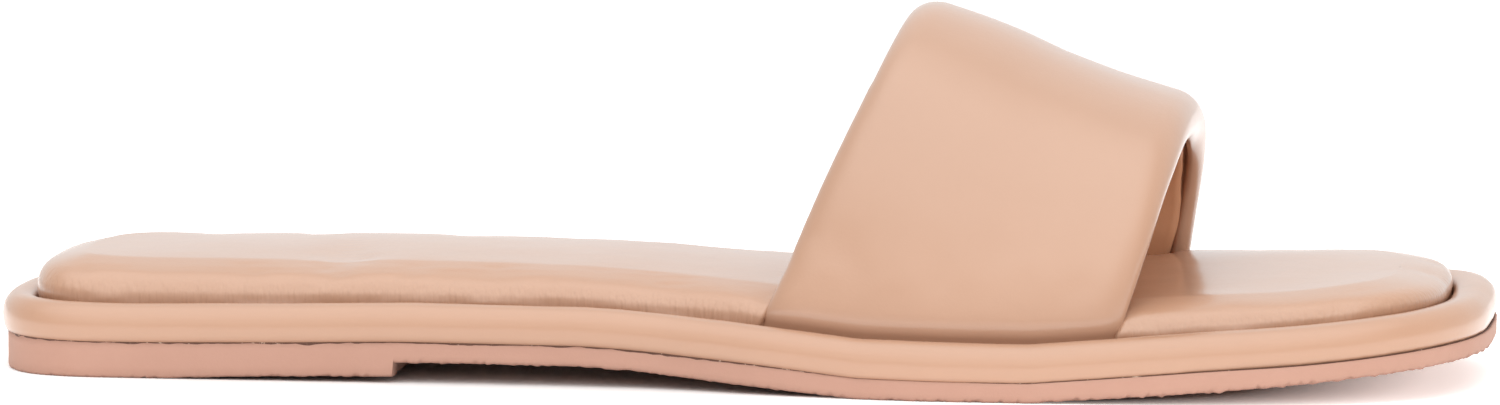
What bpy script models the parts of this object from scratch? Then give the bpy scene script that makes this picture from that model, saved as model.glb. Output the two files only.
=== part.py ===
"""Padded slide sandal for the right foot: outsole, wrapped platform, footbed and one wide upper band.

The shoe points along +X, its medial side is +Y and it stands on Z = 0.
Every height is built up from the floor: outsole, platform floor, footbed, then the band around the foot.
"""

import math
from collections import namedtuple

import bmesh
import bpy
from mathutils import Vector

MM = 0.001

# Driving sizes of the sole
LENGTH = 260 * MM
BALL_WIDTH = 91 * MM
HEEL_WIDTH = 66 * MM
WAIST_WIDTH = 64 * MM
SOLE_THICKNESS = 3.5 * MM
ARCH_RISE = 3.7 * MM
TOE_SPRING = 6.7 * MM
HEEL_BLOCK_LENGTH = 72 * MM
HEEL_ROCK = 1.1 * MM
SOLE_EDGE_ROUND = 0.6 * MM
SOLE_SETBACK = 0.9 * MM

# Driving sizes of the platform rim and its recess
RIM_HEIGHT = 6.5 * MM
RIM_WIDTH_HEEL = 6.0 * MM
RIM_WIDTH_TOE = 7.5 * MM
BOARD_THICKNESS = 1.7 * MM

# Driving sizes of the footbed
FOOTBED_RISE = 7.0 * MM
FOOTBED_EDGE = 8.5 * MM
FOOTBED_CROWN = 0.5 * MM
CROWN_SPREAD = 45 * MM

# Driving sizes of the last under the band
INSTEP_HEIGHT = 54.3 * MM
CROWN_SHIFT = 4.0 * MM

# Driving sizes of the band
BAND_WALL = 5.2 * MM
BAND_EDGE_ROUND = 3.9 * MM
BAND_REAR_FOOT = 136.5 * MM
BAND_REAR_TOP = 159.5 * MM
BAND_FRONT_FOOT = 201.0 * MM
BAND_FRONT_TOP = 209.0 * MM
MEDIAL_LAG = 1.0 * MM
FRONT_SWEEP = 2.0 * MM
NOTCH_OUT = 2.5 * MM
NOTCH_IN = 1.5 * MM

# Clearance between curved pieces
GAP = 0.3 * MM

# Mesh density
STATIONS = 50
ACROSS = 6
BAND_STATIONS = 60
BAND_STRIPS = 13
PLAN_SAMPLES = 500
BEND_LENGTH = 25 * MM

Plan = namedtuple("Plan", "share width lateral medial")
PLAN = (
    Plan(0.00, HEEL_WIDTH, 0.500, 0.435),
    Plan(0.10, HEEL_WIDTH, 0.480, 0.485),
    Plan(0.20, HEEL_WIDTH, 0.483, 0.508),
    Plan(0.32, WAIST_WIDTH, 0.504, 0.500),
    Plan(0.44, WAIST_WIDTH, 0.526, 0.489),
    Plan(0.55, BALL_WIDTH, 0.440, 0.392),
    Plan(0.65, BALL_WIDTH, 0.478, 0.455),
    Plan(0.74, BALL_WIDTH, 0.474, 0.508),
    Plan(0.83, BALL_WIDTH, 0.462, 0.523),
    Plan(0.92, BALL_WIDTH, 0.442, 0.508),
    Plan(1.00, BALL_WIDTH, 0.425, 0.480),
)

End = namedtuple("End", "length power")
HEEL_ENDS = {"lateral": End(26 * MM, 2.9), "medial": End(26 * MM, 2.5)}
TOE_ENDS = {"lateral": End(44 * MM, 2.65), "medial": End(32 * MM, 2.85)}

Level = namedtuple("Level", "share size factor")
UNDERSIDE = (
    Level(0.00, ARCH_RISE, 0.79),
    Level(0.08, ARCH_RISE, 0.68),
    Level(0.20, ARCH_RISE, 0.81),
    Level(0.30, ARCH_RISE, 0.97),
    Level(0.40, ARCH_RISE, 0.97),
    Level(0.50, ARCH_RISE, 0.50),
    Level(0.595, ARCH_RISE, 0.00),
    Level(0.71, TOE_SPRING, 0.00),
    Level(0.80, TOE_SPRING, 0.26),
    Level(0.90, TOE_SPRING, 0.60),
    Level(1.00, TOE_SPRING, 1.00),
)
THICKNESS = (
    Level(0.00, SOLE_THICKNESS, 1.10),
    Level(0.25, SOLE_THICKNESS, 1.06),
    Level(0.42, SOLE_THICKNESS, 1.03),
    Level(0.52, SOLE_THICKNESS, 1.13),
    Level(0.60, SOLE_THICKNESS, 1.05),
    Level(0.70, SOLE_THICKNESS, 0.97),
    Level(0.82, SOLE_THICKNESS, 1.00),
    Level(0.90, SOLE_THICKNESS, 0.90),
    Level(1.00, SOLE_THICKNESS, 0.86),
)
HEEL_TREAD = (
    Level(0.00, HEEL_ROCK, 0.0),
    Level(0.115, HEEL_ROCK, 0.0),
    Level(0.16, HEEL_ROCK, 0.35),
    Level(0.22, HEEL_ROCK, 0.75),
    Level(0.28, HEEL_ROCK, 1.0),
)
FOOTBED_TOP = (
    Level(0.00, FOOTBED_RISE, 1.06),
    Level(0.12, FOOTBED_RISE, 1.07),
    Level(0.30, FOOTBED_RISE, 0.99),
    Level(0.50, FOOTBED_RISE, 0.93),
    Level(0.62, FOOTBED_RISE, 0.97),
    Level(0.75, FOOTBED_RISE, 1.00),
    Level(0.85, FOOTBED_RISE, 0.85),
    Level(0.92, FOOTBED_RISE, 0.66),
    Level(1.00, FOOTBED_RISE, 0.42),
)
INSTEP = (
    Level(0.520, INSTEP_HEIGHT, 1.100),
    Level(0.600, INSTEP_HEIGHT, 1.050),
    Level(0.630, INSTEP_HEIGHT, 1.013),
    Level(0.670, INSTEP_HEIGHT, 0.951),
    Level(0.705, INSTEP_HEIGHT, 0.878),
    Level(0.740, INSTEP_HEIGHT, 0.806),
    Level(0.770, INSTEP_HEIGHT, 0.752),
    Level(0.800, INSTEP_HEIGHT, 0.700),
    Level(0.830, INSTEP_HEIGHT, 0.655),
)
SECTION_POWER = (
    Level(0.52, 1.0, 2.25),
    Level(0.65, 1.0, 2.30),
    Level(0.83, 1.0, 2.45),
)

Rim = namedtuple("Rim", "inset height")
RIM_PROFILE = (
    Rim(0.150, 0.00),
    Rim(0.045, 0.16),
    Rim(0.000, 0.40),
    Rim(0.040, 0.64),
    Rim(0.150, 0.83),
    Rim(0.320, 0.96),
    Rim(0.520, 1.00),
    Rim(0.750, 0.97),
    Rim(0.930, 0.88),
    Rim(1.000, 0.78),
)
Pillow = namedtuple("Pillow", "inset height")
FOOTBED_PROFILE = (
    Pillow(0.000, 0.00),
    Pillow(-0.012, 0.20),
    Pillow(0.000, 0.38),
    Pillow(0.060, 0.55),
    Pillow(0.170, 0.70),
    Pillow(0.340, 0.83),
    Pillow(0.620, 0.94),
    Pillow(1.000, 1.00),
)


def smooth(points, x):
    """Value at x of a curve through (place, value) pairs that never overshoots them."""
    places = [place for place, value in points]
    values = [value for place, value in points]
    if x <= places[0]:
        return values[0]
    if x >= places[-1]:
        return values[-1]
    spans = [b - a for a, b in zip(places, places[1:])]
    slopes = [(b - a) / span for a, b, span in zip(values, values[1:], spans)]
    tangents = [slopes[0]]
    for left, right in zip(slopes, slopes[1:]):
        tangents.append(0.0 if left * right <= 0 else 2 * left * right / (left + right))
    tangents.append(slopes[-1])
    i = max(k for k, place in enumerate(places[:-1]) if place <= x)
    t = (x - places[i]) / spans[i]
    rise = values[i + 1] - values[i]
    start, end = tangents[i] * spans[i], tangents[i + 1] * spans[i]
    return values[i] + t * (start + t * (3 * rise - 2 * start - end + t * (start + end - 2 * rise)))


def level(table, x):
    """A height table read at the distance x from the heel."""
    return smooth([(row.share * LENGTH, row.size * row.factor) for row in table], x)


def mix(a, b, t):
    return a + (b - a) * t


def ease(t):
    t = min(max(t, 0.0), 1.0)
    return t * t * (3 - 2 * t)


def end_factor(side, x):
    """How far the rounded heel and toe draw the outline in at x."""
    heel, toe = HEEL_ENDS[side], TOE_ENDS[side]
    back = min(max(1 - x / heel.length, 0.0), 1.0)
    front = min(max(1 - (LENGTH - x) / toe.length, 0.0), 1.0)
    return (1 - back ** heel.power) ** (1 / heel.power) * (1 - front ** toe.power) ** (1 / toe.power)


def half_width(side, x):
    rows = [(row.share * LENGTH, row.width * getattr(row, side)) for row in PLAN]
    return smooth(rows, x) * end_factor(side, x)


def rim_width(x):
    return mix(RIM_WIDTH_HEEL, RIM_WIDTH_TOE, ease((x / LENGTH - 0.4) / 0.6))


def dense_outline(side):
    """Points of one side's outline from heel to toe with the outward normal at each."""
    points = []
    for i in range(PLAN_SAMPLES + 1):
        x = LENGTH * (1 - math.cos(math.pi * i / PLAN_SAMPLES)) / 2
        points.append(Vector((x, half_width(side, x))))
    outline = []
    for i, point in enumerate(points):
        before, after = points[max(i - 1, 0)], points[min(i + 1, PLAN_SAMPLES)]
        along = (after - before).normalized()
        normal = Vector((-along.y, along.x))
        if i == 0:
            normal = Vector((-1, 0))
        if i == PLAN_SAMPLES:
            normal = Vector((1, 0))
        outline.append((point, normal))
    return outline


OUTLINES = {side: dense_outline(side) for side in ("lateral", "medial")}
CENTRE_Y = (max(p.y for p, n in OUTLINES["medial"]) - max(p.y for p, n in OUTLINES["lateral"])) / 2


def inset_outline(side, inset, cut=None):
    """One side's outline moved in by inset and then narrowed by cut, both functions of x."""
    moved = [point - normal * inset(point.x) for point, normal in OUTLINES[side]]
    if cut:
        moved = [Vector((p.x, p.y - cut(p.x))) for p in moved]
    return [Vector((p.x, max(p.y, 0.0))) for p in moved]


def lengths_along(points):
    """Length along a line up to each point, stretched where it bends so that corners get more steps."""
    reach = [0.0]
    heading = None
    for a, b in zip(points, points[1:]):
        step = b - a
        bend = 0.0
        if step.length > 1e-9:
            angle = math.atan2(step.y, step.x)
            bend = 0.0 if heading is None else abs(angle - heading)
            heading = angle
        reach.append(reach[-1] + step.length + bend * BEND_LENGTH)
    return reach


def length_at(points, reach, x):
    """Length along a line from the heel to the distance x."""
    i = max(k for k, point in enumerate(points[:-1]) if point.x <= x)
    t = (x - points[i].x) / max(points[i + 1].x - points[i].x, 1e-9)
    return mix(reach[i], reach[i + 1], t)


def steps_between(anchors, fixed):
    """Steps of the mesh in each stretch between anchors: fixed where given, the rest by length."""
    points = [point for point, normal in OUTLINES["lateral"]]
    reach = lengths_along(points)
    marks = [0.0] + [length_at(points, reach, x) for x in anchors] + [reach[-1]]
    stretches = [b - a for a, b in zip(marks, marks[1:])]
    free = STATIONS - 1 - sum(fixed.values())
    total = sum(s for i, s in enumerate(stretches) if i not in fixed)
    steps = [fixed.get(i, max(round(free * s / total), 1)) for i, s in enumerate(stretches)]
    longest = max((s, i) for i, s in enumerate(stretches) if i not in fixed)[1]
    steps[longest] += STATIONS - 1 - sum(steps)
    return steps


def by_length(points, anchors, steps):
    """Points along a line in even steps between anchors, which are distances from the heel."""
    reach = lengths_along(points)
    marks = [0.0] + [length_at(points, reach, x) for x in anchors] + [reach[-1]]
    wanted = [0.0]
    for start, end, count in zip(marks, marks[1:], steps):
        wanted += [mix(start, end, (k + 1) / count) for k in range(count)]
    picked = []
    for spot in wanted:
        i = max(k for k, r in enumerate(reach[:-1]) if r <= spot + 1e-12)
        t = (spot - reach[i]) / max(reach[i + 1] - reach[i], 1e-12)
        picked.append(points[i].lerp(points[i + 1], min(t, 1.0)))
    return picked


def plan_ring(inset, cuts=None, anchors=None, steps=None):
    """A closed ring: lateral side from heel to toe, then the medial side back to the heel.

    cuts holds a function of x for each side that is notched, anchors the distances from the
    heel where each side must have a point, and steps the mesh steps between them.
    """
    cuts = cuts or both(None)
    anchors = anchors or both(())
    steps = steps or [STATIONS - 1]
    lateral, medial = (
        by_length(inset_outline(side, inset, cuts[side]), anchors[side], steps)
        for side in ("lateral", "medial")
    )
    ring = [Vector((p.x, -p.y, 0)) for p in lateral]
    ring += [Vector((p.x, p.y, 0)) for p in reversed(medial[1:-1])]
    return ring


def both(value):
    return {"lateral": value, "medial": value}


def place(point):
    """From distances along the shoe to the shared frame, whose origin is under the middle."""
    return Vector((point[0] - LENGTH / 2, point[1] - CENTRE_Y, point[2]))


def add_cap(bm, ring, height, upward, crown=0.0):
    """A ladder of strips that closes a plan ring, following height(x) along the shoe."""
    last = STATIONS - 1
    rows = []
    for i in range(1, last):
        lateral, medial = ring[i], ring[len(ring) - i]
        rise = crown * ease((medial.co - lateral.co).length / CROWN_SPREAD)
        row = [lateral]
        for k in range(1, ACROSS):
            t = k / ACROSS
            spot = place_back(lateral.co).lerp(place_back(medial.co), t)
            lift = rise * (1 - (2 * t - 1) ** 2)
            row.append(bm.verts.new(place((spot.x, spot.y, height(spot.x) + lift))))
        row.append(medial)
        rows.append(row)
    faces = []
    for a, b in zip(rows, rows[1:]):
        for k in range(ACROSS):
            faces.append((a[k], b[k], b[k + 1], a[k + 1]))
    for k in range(ACROSS):
        faces.append((ring[0], rows[0][k], rows[0][k + 1]))
        faces.append((ring[last], rows[-1][k + 1], rows[-1][k]))
    for face in faces:
        bm.faces.new(face if upward else tuple(reversed(face)))


def place_back(point):
    return Vector((point[0] + LENGTH / 2, point[1] + CENTRE_Y, point[2]))


def stack(name, rings, bottom, top, material, crown=0.0):
    """A closed solid skinned over rings, from its bottom cap round its side to its top cap."""
    bm = bmesh.new()
    loops = [[bm.verts.new(place(point)) for point in ring] for ring in rings]
    for lower, upper in zip(loops, loops[1:]):
        for i in range(len(lower)):
            j = (i + 1) % len(lower)
            bm.faces.new((lower[i], lower[j], upper[j], upper[i]))
    add_cap(bm, loops[0], bottom, upward=False)
    add_cap(bm, loops[-1], top, upward=True, crown=crown)
    return finish(name, bm, material)


def finish(name, bm, material):
    bmesh.ops.recalc_face_normals(bm, faces=bm.faces)
    mesh = bpy.data.meshes.new(name)
    bm.to_mesh(mesh)
    bm.free()
    for polygon in mesh.polygons:
        polygon.use_smooth = True
    mesh.materials.append(material)
    solid = bpy.data.objects.new(name, mesh)
    bpy.context.collection.objects.link(solid)
    return solid


def leather(name, colour, roughness):
    material = bpy.data.materials.new(name)
    material.use_nodes = True
    shader = material.node_tree.nodes["Principled BSDF"]
    shader.inputs["Base Color"].default_value = (*colour, 1.0)
    shader.inputs["Roughness"].default_value = roughness
    shader.inputs["Metallic"].default_value = 0.0
    return material


def sole_underside(x):
    """The slab's lower face, with the heel block standing down from it to the floor."""
    if x <= HEEL_BLOCK_LENGTH + 0.05 * MM:
        return level(HEEL_TREAD, x)
    return level(UNDERSIDE, x)


def parting(x):
    """Where the platform starts, on top of the outsole."""
    return level(UNDERSIDE, x) + level(THICKNESS, x)


def sole_setback(x):
    return SOLE_SETBACK * (1 - ease((x / LENGTH - 0.5) / 0.5))


def raised(ring, height):
    return [Vector((p.x, p.y, height(p.x))) for p in ring]


def make_outsole():
    breast = (HEEL_BLOCK_LENGTH, HEEL_BLOCK_LENGTH + 2 * GAP)
    steps = steps_between(breast, {1: 1})

    def ring(inset, height):
        def setback(x):
            return sole_setback(x) + inset * SOLE_EDGE_ROUND

        return raised(plan_ring(setback, anchors=both(breast), steps=steps), height)

    rings = [
        ring(1.0, sole_underside),
        ring(0.3, lambda x: sole_underside(x) + 0.3 * SOLE_EDGE_ROUND),
        ring(0.0, lambda x: sole_underside(x) + SOLE_EDGE_ROUND),
        ring(0.0, lambda x: parting(x) - GAP - 0.3 * SOLE_EDGE_ROUND),
        ring(0.3, lambda x: parting(x) - GAP),
    ]
    rubber = leather("outsole_rubber", (0.67, 0.39, 0.29), 0.62)
    return stack("outsole", rings, sole_underside, lambda x: parting(x) - GAP, rubber)


def make_platform():
    rings = []
    for row in RIM_PROFILE:
        ring = plan_ring(lambda x: row.inset * rim_width(x))
        rings.append(raised(ring, lambda x: parting(x) + row.height * RIM_HEIGHT))
    wall = plan_ring(rim_width)
    rings.append(raised(wall, recess_floor))
    cover = leather("platform_leather", (0.76, 0.52, 0.38), 0.42)
    return stack("wrapped_platform", rings, parting, recess_floor, cover)


def recess_floor(x):
    return parting(x) + BOARD_THICKNESS


def footbed_start(x):
    """Height of the rim's inner lip, where the footbed starts to show."""
    return parting(x) + RIM_PROFILE[-1].height * RIM_HEIGHT


def footbed_top(x):
    return parting(x) + RIM_HEIGHT + level(FOOTBED_TOP, x)


def band_reach(side, share):
    """Rear and front edge of the band on one side at a share of its height.

    The lateral front edge sweeps back as it nears its foot.
    """
    lag = MEDIAL_LAG * (1 - share) if side == "medial" else 0.0
    sweep = FRONT_SWEEP * (1 - share) ** 3 if side == "lateral" else 0.0
    rear = mix(BAND_REAR_FOOT, BAND_REAR_TOP, share) + lag
    front = mix(BAND_FRONT_FOOT, BAND_FRONT_TOP, share) + lag - sweep
    return rear, front


def notch_edges(side, share):
    """Where the footbed starts and ends making room for the band, at a share of the band's height."""
    rear, front = band_reach(side, share)
    return rear - NOTCH_OUT, rear + NOTCH_IN, front - NOTCH_IN, front + NOTCH_OUT


def notch(side, x, share):
    """How much of the band's wall the footbed makes room for at x, from 0 to 1."""
    start, full, leave, end = notch_edges(side, share)
    return ease((x - start) / (full - start)) * ease((end - x) / (end - leave))


def footbed_ring(inset, height):
    """A ring of the footbed at a share of its edge's depth and a share of its rise."""
    share = max(height, 0.0) * FOOTBED_RISE / INSTEP_HEIGHT
    room = BAND_WALL + 2.5 * GAP

    def reach(x):
        return rim_width(x) + GAP + inset * FOOTBED_EDGE

    cuts = {
        "lateral": lambda x: room * notch("lateral", x, share),
        "medial": lambda x: room * notch("medial", x, share),
    }
    steps = steps_between(notch_edges("lateral", 0.0), {1: 3, 3: 3})
    anchors = {side: notch_edges(side, share) for side in OUTLINES}
    return plan_ring(reach, cuts, anchors, steps)


def make_footbed():
    def underside(x):
        return recess_floor(x) + GAP

    rings = [raised(footbed_ring(0.0, 0.0), underside)]
    rings.append(raised(footbed_ring(0.0, 0.0), lambda x: mix(underside(x), footbed_start(x), 0.9)))
    for row in FOOTBED_PROFILE:
        ring = footbed_ring(row.inset, row.height)
        rings.append(raised(ring, lambda x: mix(footbed_start(x), footbed_top(x), row.height)))
    cover = leather("footbed_leather", (0.78, 0.55, 0.41), 0.40)
    return stack("footbed", rings, underside, footbed_top, cover, FOOTBED_CROWN)


def band_foot_width(side, x):
    """Distance from the middle line to the band's outer face at its foot."""
    inset = rim_width(x) + GAP
    points = inset_outline(side, lambda place_x: rim_width(place_x) + GAP)
    for a, b in zip(points, points[1:]):
        if a.x <= x <= b.x:
            return mix(a.y, b.y, (x - a.x) / max(b.x - a.x, 1e-9))
    return half_width(side, x) - inset


BAND_FEET = {
    side: [(x * MM, band_foot_width(side, x * MM)) for x in range(120, 226, 3)] for side in OUTLINES
}


def last_surface(turn, v):
    """Outer face of the band: turn runs from 0 on the lateral foot to pi on the medial foot."""
    side = "lateral" if turn < math.pi / 2 else "medial"
    rise = math.sin(turn)
    share = rise ** 0.87
    lateral, medial = band_reach("lateral", share), band_reach("medial", share)
    blend = ease(turn / math.pi)
    rear, front = mix(lateral[0], medial[0], blend), mix(lateral[1], medial[1], blend)
    x = mix(rear, front, v)
    power = level_power(x)
    spread = abs(math.cos(turn)) ** (2 / power)
    width = smooth(BAND_FEET[side], x) * spread
    y = -width if side == "lateral" else width
    y += CROWN_SHIFT * rise ** 2
    foot = footbed_start(x)
    return Vector((x, y, foot + level(INSTEP, x) * rise ** (2 / power)))


def level_power(x):
    return smooth([(row.share * LENGTH, row.factor) for row in SECTION_POWER], x)


def last_normal(turn, v):
    """Outward normal of the last surface, from neighbouring points."""
    step = 0.01
    across = last_surface(min(turn + step, math.pi), v) - last_surface(max(turn - step, 0.0), v)
    along = last_surface(turn, v + step) - last_surface(turn, v - step)
    return along.cross(across).normalized()


def band_profile():
    """Rows of (place from rear to front, share of half the wall) round the band's thickness."""
    width = BAND_FRONT_TOP - BAND_REAR_TOP
    edge = BAND_EDGE_ROUND / width
    places = [0.0]
    for angle in (25, 50, 75):
        places.append(edge * (1 - math.cos(math.radians(angle))))
    inner = BAND_STRIPS - 5
    places += [mix(edge, 1 - edge, i / inner) for i in range(inner + 1)]
    places += [1 - place for place in reversed(places[:4])]

    def swell(place):
        depth = min(min(place, 1 - place) / edge, 1.0)
        return math.sqrt(max(1 - (1 - depth) ** 2, 0.0))

    outside = [(place, swell(place)) for place in places]
    inside = [(place, -swell(place)) for place in reversed(places[1:-1])]
    return outside + inside


def make_band():
    bm = bmesh.new()
    profile = band_profile()
    loops = [band_foot_loop(bm, profile, 0.0)]
    for i in range(BAND_STATIONS + 1):
        turn = math.pi * (i / BAND_STATIONS)
        loop = []
        for v, swell in profile:
            point, normal = last_surface(turn, v), last_normal(turn, v)
            spot = point + normal * (swell - 1) * BAND_WALL / 2
            loop.append(bm.verts.new(place(spot)))
        loops.append(loop)
    loops.append(band_foot_loop(bm, profile, math.pi))
    for lower, upper in zip(loops, loops[1:]):
        for i in range(len(lower)):
            j = (i + 1) % len(lower)
            bm.faces.new((lower[i], lower[j], upper[j], upper[i]))
    for loop in (loops[0], loops[-1]):
        close_foot(bm, loop)
    cover = leather("band_leather", (0.75, 0.50, 0.36), 0.40)
    return finish("upper_band", bm, cover)


def band_foot_loop(bm, profile, turn):
    """The band's lower end, standing on the recess floor inside the rim."""
    loop = []
    for v, swell in profile:
        point, normal = last_surface(turn, v), last_normal(turn, v)
        spot = point + normal * (swell - 1) * BAND_WALL / 2
        spot.z = recess_floor(spot.x) + GAP
        loop.append(bm.verts.new(place(spot)))
    return loop


def close_foot(bm, loop):
    """Strips between the outer and inner face of the band close its lower end."""
    count = len(loop)
    for i in range(count // 2):
        a, b = loop[i], loop[i + 1]
        c, d = loop[(count - i - 1) % count], loop[(count - i) % count]
        corners = [a, b, c, d] if i else [a, b, c]
        if b == c:
            corners = [a, b, d]
        bm.faces.new(corners)


def main():
    for leftover in list(bpy.data.objects):
        bpy.data.objects.remove(leftover)
    make_outsole()
    make_platform()
    make_footbed()
    make_band()


main()
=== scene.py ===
"""Looks of the padded slide sandal: nappa leather over foam, a rolled rim and a rubber outsole.

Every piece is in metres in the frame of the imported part: toe along +X, medial side +Y, floor at Z = 0.
"""

import math

import bpy
import numpy as np
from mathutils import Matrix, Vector, noise
from mathutils.kdtree import KDTree


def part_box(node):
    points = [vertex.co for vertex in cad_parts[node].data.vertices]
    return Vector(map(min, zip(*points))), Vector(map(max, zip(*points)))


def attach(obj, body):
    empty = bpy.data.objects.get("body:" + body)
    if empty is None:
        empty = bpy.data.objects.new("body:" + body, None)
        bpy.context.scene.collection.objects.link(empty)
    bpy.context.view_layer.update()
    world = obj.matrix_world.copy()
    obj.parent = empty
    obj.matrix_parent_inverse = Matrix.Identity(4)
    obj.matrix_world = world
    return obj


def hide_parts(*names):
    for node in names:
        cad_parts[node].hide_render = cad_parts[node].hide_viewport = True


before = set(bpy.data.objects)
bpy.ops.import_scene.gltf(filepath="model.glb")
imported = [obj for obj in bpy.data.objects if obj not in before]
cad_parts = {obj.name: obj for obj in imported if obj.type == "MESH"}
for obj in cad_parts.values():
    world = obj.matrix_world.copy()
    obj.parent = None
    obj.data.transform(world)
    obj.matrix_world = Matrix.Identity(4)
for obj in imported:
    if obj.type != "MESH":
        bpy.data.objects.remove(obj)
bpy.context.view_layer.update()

MM = 0.001

# Sizes of the shoe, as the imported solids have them
PLATFORM_LOW, PLATFORM_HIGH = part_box("wrapped_platform")
LENGTH = PLATFORM_HIGH.x - PLATFORM_LOW.x
BALL_WIDTH = 91 * MM
HEEL_WIDTH = 66 * MM
WAIST_WIDTH = 64 * MM
SOLE_THICKNESS = 3.5 * MM
ARCH_RISE = 3.7 * MM
TOE_SPRING = 6.7 * MM
HEEL_BLOCK_LENGTH = 73 * MM
HEEL_ROCK = 1.1 * MM
SOLE_EDGE_ROUND = 0.5 * MM
SOLE_SETBACK = 0.9 * MM
RIM_HEIGHT = 6.5 * MM
RIM_WIDTH_HEEL = 6.0 * MM
RIM_WIDTH_TOE = 7.5 * MM
BOARD_THICKNESS = 1.7 * MM
FOOTBED_RISE = 7.0 * MM
FOOTBED_EDGE = 8.5 * MM
FOOTBED_CROWN = 0.5 * MM
CROWN_SPREAD = 45 * MM
INSTEP_HEIGHT = 54.3 * MM
CROWN_SHIFT = 4.0 * MM
BAND_WALL = 5.2 * MM
BAND_REAR_FOOT = 136.5 * MM
BAND_REAR_TOP = 159.5 * MM
BAND_FRONT_FOOT = 201.0 * MM
BAND_FRONT_TOP = 209.0 * MM
MEDIAL_LAG = 1.0 * MM
FRONT_SWEEP = 2.0 * MM
NOTCH_OUT = 0.2 * MM
NOTCH_IN = 2.4 * MM
GAP = 0.3 * MM

# Sizes of the finish
BAND_ROLL = 5.0 * MM
INNER_ROLL = 2.0 * MM
REAR_PLUMP = 1.2
FRONT_PLUMP = 1.6
TURNED_MARGIN = 2.9 * MM
LINING_THICKNESS = 1.0 * MM
FOOT_PRESS = 0.50
PRESS_HEIGHT = 12 * MM
FOOT_BULGE = 0.8 * MM
PLUMP_REACH = 30 * MM
SHOULDER_SPREAD = 44 * MM
LINING_EDGE = 0.5 * MM
TREAD_DEPTH = 0.4 * MM
TREAD_INSET = 5 * MM
TREAD_MARGIN = 2.6 * MM
BREAST_MARGIN = 3 * MM
BAR_LENGTH = 4.6 * MM
BAR_WIDTH = 1.3 * MM
BAR_ANGLE = 40
BARS_ALONG = 61
BARS_ACROSS = 19
TOE_LIFT = 0.45 * MM

# Unevenness of the leather: rows of height, size and seed
FOOTBED_SWELL = ((0.16 * MM, 20 * MM, 1), (0.05 * MM, 7 * MM, 2))
RIM_SWELL = ((0.16 * MM, 18 * MM, 4), (0.05 * MM, 5 * MM, 5))
BAND_SWELL = ((0.22 * MM, 20 * MM, 10), (0.04 * MM, 6 * MM, 11))
GATHER_DEPTH = 0.10 * MM

# Wear of the outsole's trimmed edge
RAG_DEPTH = 0.4 * MM
NICK_DEPTH = 0.8 * MM
BURR_DEPTH = 0.5 * MM
SIDE_WAVE = 0.05 * MM

# Foam and leather under the cloth simulation
FOAM_PRESSURE = 4.0
LEATHER_SLACK = 0.02
LEATHER_STIFFNESS = 40
LEATHER_BENDING = 4
CLOTH_QUALITY = 5
SETTLE_FRAMES = 20
FOOTBED_CLOTH = {"voxel": 3.0 * MM, "most": 0.5 * MM}
BAND_CLOTH = {"voxel": 2.0 * MM, "most": 0.12 * MM}
NEAREST_POINTS = 6

# Mesh density
STATIONS = 230
SOLE_STATIONS = 1000
SOLE_ACROSS = 14
SIDE_RINGS = 30
ACROSS = 44
BAND_STATIONS = 170
GLUE_STATIONS = 500

# The camera: degrees round towards the toe and up, then metres
CAMERA_TURN = 8.72
CAMERA_TILT = 6.03
CAMERA_DISTANCE = 1.8
CAMERA_LENS = 248.4
CAMERA_TARGET = (0.58 * MM, -2.05 * MM, 28.97 * MM)
# Brightness of the studio in front of the shoe, behind it and overhead
ROOM = (0.28, 0.92, 0.60)
# Brightness and direction of the wide soft panel above the camera
PANEL = 1.42
PANEL_SIDE = (-0.05, -0.57, 0.82)
# The floor's paint near the shoe and in front of it, its own glow, and the shade that the glow leaves free
FLOOR_REACH = 6.0
FLOOR_PAINT = (0.95, 0.95, 0.95)
FRONT_PAINT = (0.20, 0.20, 0.20)
FLOOR_GLOW = (0.42, 0.42, 0.42)
SHADE_BACK = 5 * MM
SHADE_HALF_LENGTH = 131 * MM
SHADE_HALF_WIDTH = 47 * MM
FRONT_START = 60 * MM
FAR_START = 170 * MM
# Name, place, aim, size and power of each soft light
LAMPS = (
    ("top_light", (-0.15, -0.60, 1.15), (0.0, 0.0, 0.03), (1.3, 0.8), 1.5),
    ("toe_light", (0.85, -0.65, 0.28), (0.06, 0.0, 0.02), (0.5, 0.4), 2.2),
)

PLAN_COLUMNS = ("share", "width", "lateral", "medial")
PLAN = (
    (0.00, HEEL_WIDTH, 0.500, 0.435),
    (0.10, HEEL_WIDTH, 0.480, 0.485),
    (0.20, HEEL_WIDTH, 0.483, 0.508),
    (0.32, WAIST_WIDTH, 0.504, 0.500),
    (0.44, WAIST_WIDTH, 0.526, 0.489),
    (0.55, BALL_WIDTH, 0.440, 0.392),
    (0.65, BALL_WIDTH, 0.478, 0.455),
    (0.74, BALL_WIDTH, 0.474, 0.508),
    (0.83, BALL_WIDTH, 0.462, 0.523),
    (0.92, BALL_WIDTH, 0.442, 0.508),
    (1.00, BALL_WIDTH, 0.425, 0.480),
)
# Length and power of the rounded ends on each side
HEEL_ENDS = {"lateral": (26 * MM, 2.9), "medial": (26 * MM, 2.5)}
TOE_ENDS = {"lateral": (44 * MM, 2.65), "medial": (32 * MM, 2.85)}
SIDES = {"lateral": -1, "medial": 1}

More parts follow.
